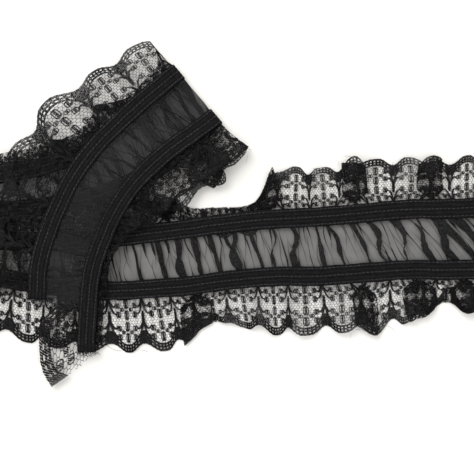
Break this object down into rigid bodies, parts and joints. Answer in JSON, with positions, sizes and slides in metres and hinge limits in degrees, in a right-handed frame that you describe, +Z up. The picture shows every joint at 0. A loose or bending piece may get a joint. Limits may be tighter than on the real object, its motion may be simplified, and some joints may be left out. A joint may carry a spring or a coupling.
{
  "type": "ruffled lace trim",
  "caption": "Gathered sheer strip between ribbed tape bands, with a scalloped lace ruffle along each outer edge, lying folded over itself on a table.",
  "frame": {"origin": "bottom centre of the folded strip's box, on the table", "axes": "+X along the long bottom layer, away from the left fold; +Y towards the top fold; +Z up from the table"},
  "size_m": [0.4888, 0.2416, 0.0106],
  "materials": {
    "sheer": "thin gathered voile, see-through, soft sheen",
    "lace": "machine lace on fine hexagonal net, matt",
    "tape": "ribbed woven tape, matt",
    "thread": "twisted polyester sewing thread, slight sheen"
  },
  "bodies": {
    "root": {"sheer_insert": "sheer", "far_ruffle": "lace", "far_front_tape": "tape", "far_back_tape": "tape", "far_inner_needle_thread": "thread", "far_inner_bobbin_thread": "thread", "far_centre_needle_thread": "thread", "far_centre_bobbin_thread": "thread", "far_outer_needle_thread": "thread", "far_outer_bobbin_thread": "thread", "near_ruffle": "lace", "near_front_tape": "tape", "near_back_tape": "tape", "near_inner_needle_thread": "thread", "near_inner_bobbin_thread": "thread", "near_centre_needle_thread": "thread", "near_centre_bobbin_thread": "thread", "near_outer_needle_thread": "thread", "near_outer_bobbin_thread": "thread"}
  },
  "joints": []
}
